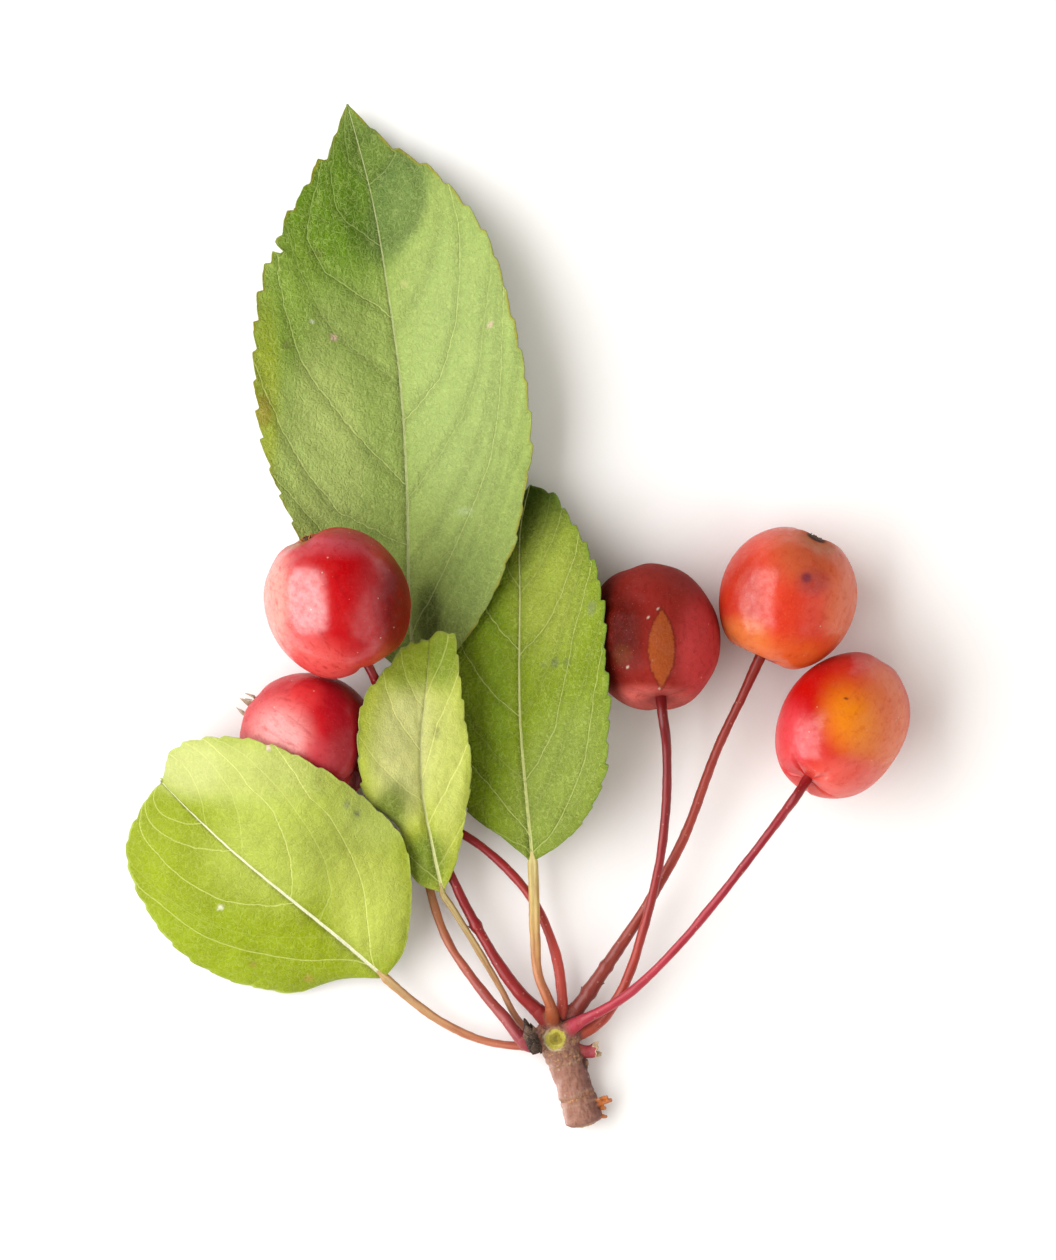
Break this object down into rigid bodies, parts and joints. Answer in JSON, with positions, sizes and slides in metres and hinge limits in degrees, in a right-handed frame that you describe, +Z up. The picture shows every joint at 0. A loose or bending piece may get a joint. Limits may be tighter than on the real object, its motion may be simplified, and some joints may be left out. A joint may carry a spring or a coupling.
{
  "type": "crabapple sprig",
  "caption": "Short woody fruiting spur lying down, with toothed oval leaves and small glossy red crabapples on long thin stalks.",
  "frame": {"origin": "middle of the sprig's box in plan, on the surface that it lies on", "axes": "+Z up from the surface, the cut end of the spur points along -Y and the largest leaf along +Y"},
  "size_m": [0.1179, 0.1551, 0.0266],
  "materials": {
    "bark": "matt brown-purple bark",
    "dead_wood": "dry dark brown, matt",
    "leaf": "satin green leaf",
    "young_leaf": "satin yellow-green leaf",
    "fruit_skin": "glossy waxed fruit skin",
    "red_stalk": "satin dark red",
    "tan_stalk": "satin tan and red",
    "dry_sepal": "dry grey-brown, matt"
  },
  "bodies": {
    "root": {"spur": "bark", "dead_bud": "dead_wood", "stalk_stub": "red_stalk", "leaf_top": "leaf", "leaf_middle": "leaf", "leaf_small": "young_leaf", "leaf_left": "young_leaf", "leaf_top_stalk": "tan_stalk", "leaf_middle_stalk": "tan_stalk", "leaf_small_stalk": "tan_stalk", "leaf_left_stalk": "tan_stalk", "fruit_1": "fruit_skin", "fruit_1_stalk": "red_stalk", "calyx_1": "dry_sepal", "fruit_2": "fruit_skin", "fruit_2_stalk": "red_stalk", "calyx_2": "dry_sepal", "fruit_3": "fruit_skin", "fruit_3_stalk": "red_stalk", "calyx_3": "dry_sepal", "fruit_4": "fruit_skin", "fruit_4_stalk": "red_stalk", "calyx_4": "dry_sepal", "fruit_5": "fruit_skin", "fruit_5_stalk": "red_stalk", "calyx_5": "dry_sepal"}
  },
  "joints": []
}
